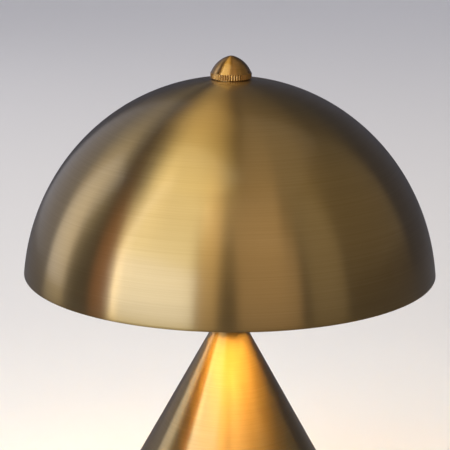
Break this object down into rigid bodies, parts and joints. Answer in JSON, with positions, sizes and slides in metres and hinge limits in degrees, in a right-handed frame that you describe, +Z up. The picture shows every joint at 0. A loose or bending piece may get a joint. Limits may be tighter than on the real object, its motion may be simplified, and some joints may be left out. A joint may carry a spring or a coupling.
{
  "type": "dome shade desk lamp",
  "caption": "Table lamp with a spun brass dome shade screwed to a wire harp by a knurled finial, over a socket, switch and bulb on a weighted brass cone.",
  "frame": {"origin": "centre of the felt foot's underside, on the lamp's axis", "axes": "+Z up the lamp's axis, -Y towards the front with the switch key, +Y towards the cord inlet, harp in the XZ plane"},
  "size_m": [0.2999, 0.3, 0.3807],
  "materials": {
    "brushed_brass": "brushed and lacquered",
    "bright_brass": "turned and polished",
    "plated_wire": "brass-plated wire",
    "zinc_steel": "zinc plated",
    "cast_iron": "rough cast",
    "black_steel": "satin black paint",
    "black_felt": "pressed felt",
    "black_nylon": "moulded",
    "fibre_board": "vulcanised fibre",
    "black_phenolic": "moulded",
    "bulb_metal": "pressed sheet",
    "solder": "dull",
    "black_glass": "fused",
    "opal_glass": "opal, lit"
  },
  "bodies": {
    "base": {"base_cone": "brushed_brass", "base_weight": "cast_iron", "bottom_cover": "black_steel", "felt_pad": "black_felt", "cover_screws": "zinc_steel", "centre_tube": "zinc_steel", "base_nut": "zinc_steel", "base_washer": "zinc_steel", "neck_washer": "zinc_steel", "neck_nut": "zinc_steel", "cord_bushing": "black_nylon", "socket_dish": "brushed_brass", "harp_saddle": "plated_wire", "socket_cap": "bright_brass", "socket_shell": "bright_brass", "socket_liner": "fibre_board", "switch_mechanism": "black_phenolic", "terminal_screws": "bright_brass", "screw_shell": "bright_brass", "centre_contact": "bright_brass"},
    "switch": {"switch_shaft": "bright_brass", "switch_key": "black_phenolic"},
    "bulb_tip": {"bulb_contact": "solder"},
    "bulb": {"bulb_cap": "bulb_metal", "bulb_insulator": "black_glass", "bulb_glass": "opal_glass"},
    "harp": {"harp_wire": "plated_wire", "harp_top_fitting": "bright_brass"},
    "sleeve_left": {"harp_sleeve_left": "bright_brass"},
    "sleeve_right": {"harp_sleeve_right": "bright_brass"},
    "shade_seat": {"shade_seat_washer": "black_felt"},
    "shade": {"dome_shade": "brushed_brass"},
    "finial_pad": {"finial_washer": "fibre_board"},
    "finial": {"finial": "bright_brass"}
  },
  "joints": [
    {"name": "switch_turn", "type": "hinge", "parent": "base", "child": "switch", "pos_m": [0, -0.0163, 0.20751], "axis": [0, -1, 0], "continuous": true},
    {"name": "bulb_rise", "type": "slide", "parent": "base", "child": "bulb_tip", "axis": [0, 0, 1], "range_m": [0, 0.01088]},
    {"name": "bulb_turn", "type": "hinge", "parent": "bulb_tip", "child": "bulb", "pos_m": [0, 0, 0.21706], "axis": [0, 0, 1], "range_deg": [0, 1080]},
    {"name": "harp_lift", "type": "slide", "parent": "base", "child": "harp", "axis": [0, 0, 1], "range_m": [0, 0.02]},
    {"name": "sleeve_left_lift", "type": "slide", "parent": "harp", "child": "sleeve_left", "axis": [0, 0, 1], "range_m": [0, 0.01]},
    {"name": "sleeve_right_lift", "type": "slide", "parent": "harp", "child": "sleeve_right", "axis": [0, 0, 1], "range_m": [0, 0.01]},
    {"name": "shade_turn", "type": "hinge", "parent": "harp", "child": "shade_seat", "pos_m": [0, 0, 0.36238], "axis": [0, 0, 1], "continuous": true},
    {"name": "shade_lift", "type": "slide", "parent": "shade_seat", "child": "shade", "axis": [0, 0, 1], "range_m": [0, 0.2]},
    {"name": "finial_rise", "type": "slide", "parent": "shade", "child": "finial_pad", "axis": [0, 0, 1], "range_m": [0, 0.00702]},
    {"name": "finial_turn", "type": "hinge", "parent": "finial_pad", "child": "finial", "pos_m": [0, 0, 0.36486], "axis": [0, 0, 1], "range_deg": [0, 2520]}
  ],
  "couplings": [
    {"joint": "bulb_rise", "follows": "bulb_turn", "m_per_rad": 0.00057614},
    {"joint": "finial_rise", "follows": "finial_turn", "m_per_rad": 0.00015915}
  ]
}
